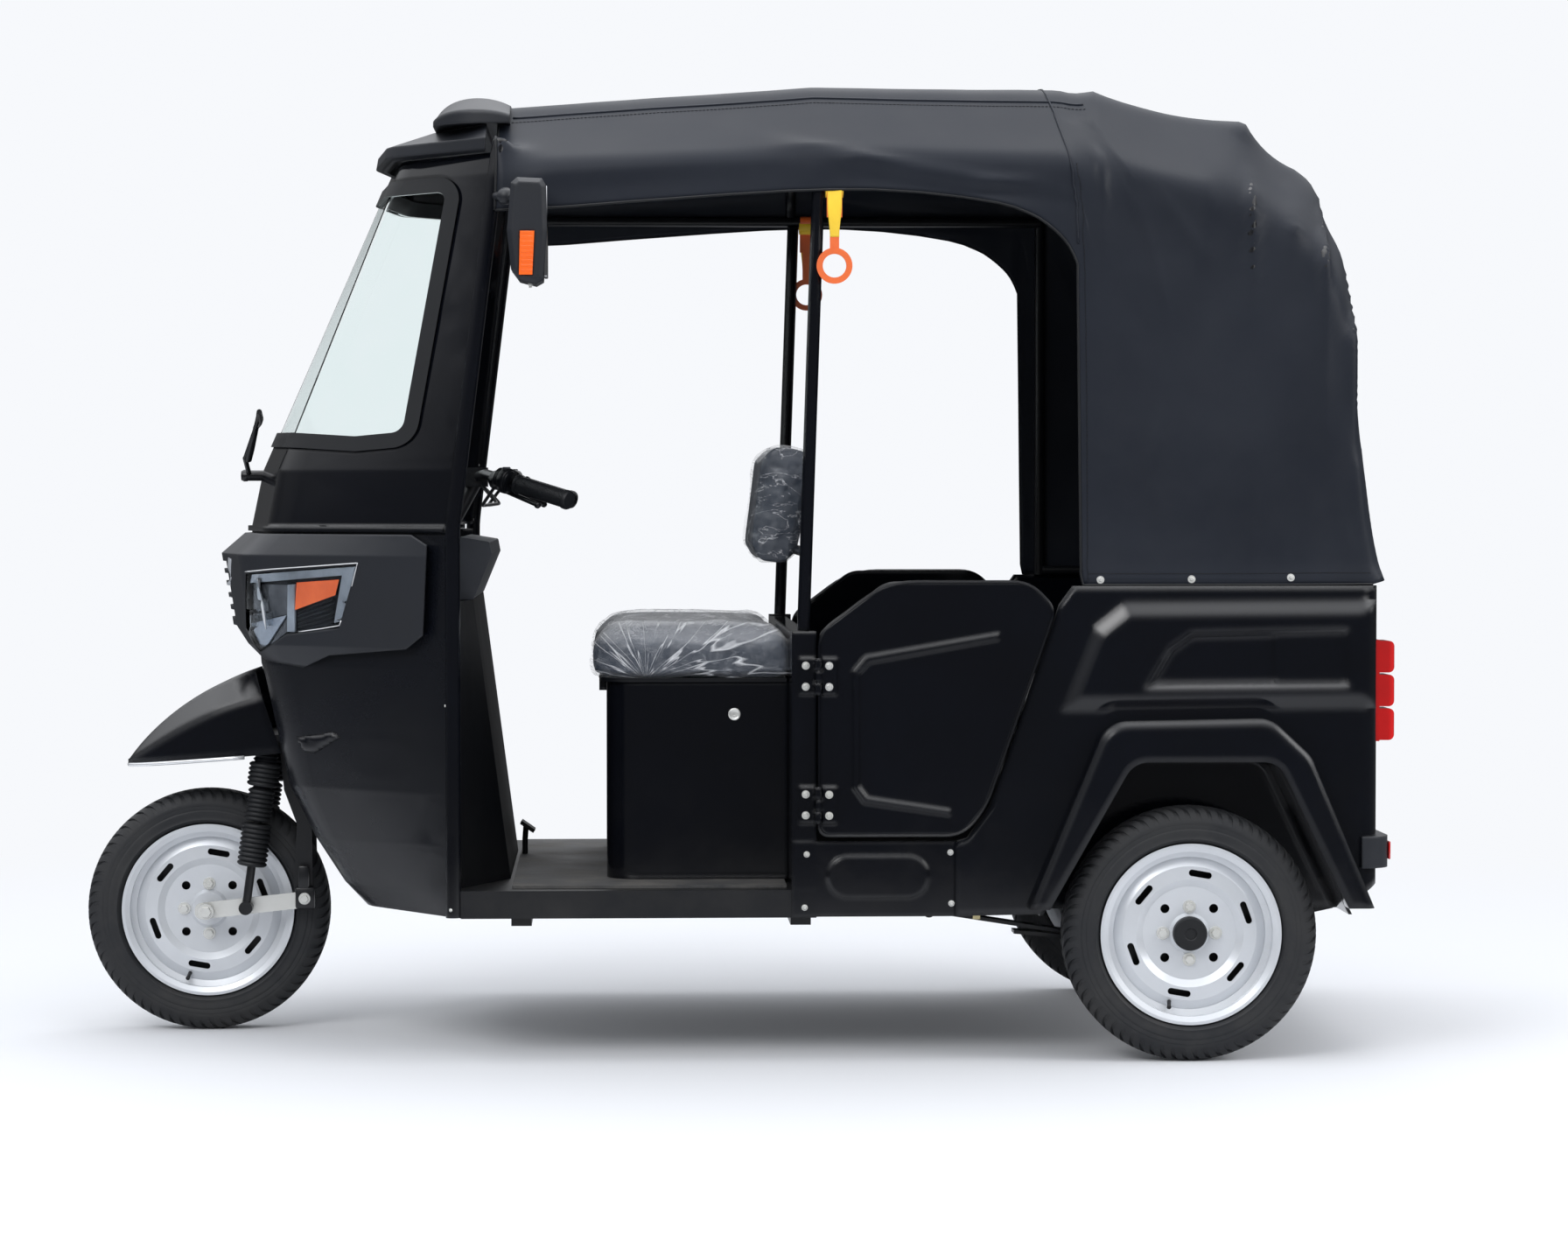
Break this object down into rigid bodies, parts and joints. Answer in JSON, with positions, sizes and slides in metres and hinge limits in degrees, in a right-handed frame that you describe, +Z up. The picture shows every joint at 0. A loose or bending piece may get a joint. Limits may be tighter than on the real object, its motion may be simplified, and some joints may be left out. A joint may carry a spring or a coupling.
{
  "type": "auto rickshaw",
  "caption": "Three-wheeled passenger vehicle with a folding-cloth roof, open driver's cabin, half doors and one steered front wheel.",
  "frame": {"origin": "on the ground, midway along the vehicle and on its centre plane", "axes": "+X to the rear, +Y to the vehicle's right, +Z up"},
  "size_m": [2.64, 1.4966, 1.9232],
  "materials": {
    "chassis_frame": "satin black",
    "floor_pan": "gloss black",
    "floor_mat": "dark textured rubber",
    "nose_panel": "gloss black",
    "headlamp_cowl": "charcoal",
    "headlamp_units": "clear lens",
    "amber_lenses": "amber lens",
    "screen_surround": "gloss black",
    "screen_gasket": "black rubber",
    "windscreen": "clear",
    "roof_cap": "charcoal",
    "cabin_tubes": "satin black",
    "roof_frame": "satin black",
    "canopy": "dark coated cloth",
    "leg_shield": "satin black",
    "dashboard": "dark grey",
    "seat_box": "gloss black",
    "driver_backrest": "dark blue-grey vinyl",
    "partition": "gloss black",
    "rear_body": "gloss black",
    "wheel_flares": "gloss black",
    "bench_cushions": "dark vinyl",
    "battery_pack": "plain block",
    "rear_bumper": "charcoal",
    "tail_lamps": "red lens",
    "mirrors": "charcoal",
    "hanging_straps": "orange",
    "wiper": "black",
    "brake_pedal": "black",
    "rear_axle": "black",
    "fork": "black",
    "front_links": "zinc plated",
    "shocks": "black",
    "front_fender": "gloss black",
    "handlebar": "black",
    "front_tyre": "black rubber",
    "front_rim": "silver paint",
    "door_left": "gloss black",
    "door_right": "gloss black",
    "driver_seat_pan": "black",
    "driver_cushion": "dark blue-grey vinyl"
  },
  "bodies": {
    "chassis": {"chassis_frame": "chassis_frame", "floor_pan": "floor_pan", "floor_mat": "floor_mat", "nose_panel": "nose_panel", "headlamp_cowl": "headlamp_cowl", "headlamp_units": "headlamp_units", "amber_lenses": "amber_lenses", "screen_surround": "screen_surround", "screen_gasket": "screen_gasket", "windscreen": "windscreen", "roof_cap": "roof_cap", "cabin_tubes": "cabin_tubes", "roof_frame": "roof_frame", "canopy": "canopy", "leg_shield": "leg_shield", "dashboard": "dashboard", "seat_box": "seat_box", "driver_backrest": "driver_backrest", "partition": "partition", "rear_body": "rear_body", "wheel_flares": "wheel_flares", "bench_cushions": "bench_cushions", "battery_pack": "battery_pack", "rear_bumper": "rear_bumper", "tail_lamps": "tail_lamps", "mirrors": "mirrors", "hanging_straps": "hanging_straps", "wiper": "wiper", "brake_pedal": "brake_pedal", "rear_axle": "rear_axle"},
    "steering": {"fork": "fork", "front_links": "front_links", "shocks": "shocks", "front_fender": "front_fender", "handlebar": "handlebar"},
    "front_wheel": {"front_tyre": "front_tyre", "front_rim": "front_rim"},
    "rear_wheel_left": {"rear_left_tyre": "front_tyre", "rear_left_rim": "front_rim"},
    "rear_wheel_right": {"rear_right_tyre": "front_tyre", "rear_right_rim": "front_rim"},
    "door_left": {"door_left": "door_left"},
    "door_right": {"door_right": "door_right"},
    "driver_seat": {"driver_seat_pan": "driver_seat_pan", "driver_cushion": "driver_cushion"}
  },
  "joints": [
    {"name": "steering_turn", "type": "hinge", "parent": "chassis", "child": "steering", "pos_m": [-0.64922, 0, 0.9], "axis": [0.4818, 0, 0.8763], "range_deg": [-35, 35]},
    {"name": "front_wheel_spin", "type": "hinge", "parent": "steering", "child": "front_wheel", "pos_m": [-1.07, 0, 0.25], "axis": [0, -1, 0], "continuous": true},
    {"name": "rear_left_wheel_spin", "type": "hinge", "parent": "chassis", "child": "rear_wheel_left", "pos_m": [0.9, -0.565, 0.25], "axis": [0, -1, 0], "continuous": true},
    {"name": "rear_right_wheel_spin", "type": "hinge", "parent": "chassis", "child": "rear_wheel_right", "pos_m": [0.9, 0.565, 0.25], "axis": [0, -1, 0], "continuous": true},
    {"name": "door_left_swing", "type": "hinge", "parent": "chassis", "child": "door_left", "pos_m": [0.169, -0.62, 0.6315], "axis": [0, 0, -1], "range_deg": [0, 90]},
    {"name": "door_right_swing", "type": "hinge", "parent": "chassis", "child": "door_right", "pos_m": [0.169, 0.62, 0.6315], "axis": [0, 0, 1], "range_deg": [0, 90]},
    {"name": "driver_seat_tip", "type": "hinge", "parent": "chassis", "child": "driver_seat", "pos_m": [-0.255, 0, 0.7422], "axis": [0, -1, 0], "range_deg": [0, 30]}
  ]
}
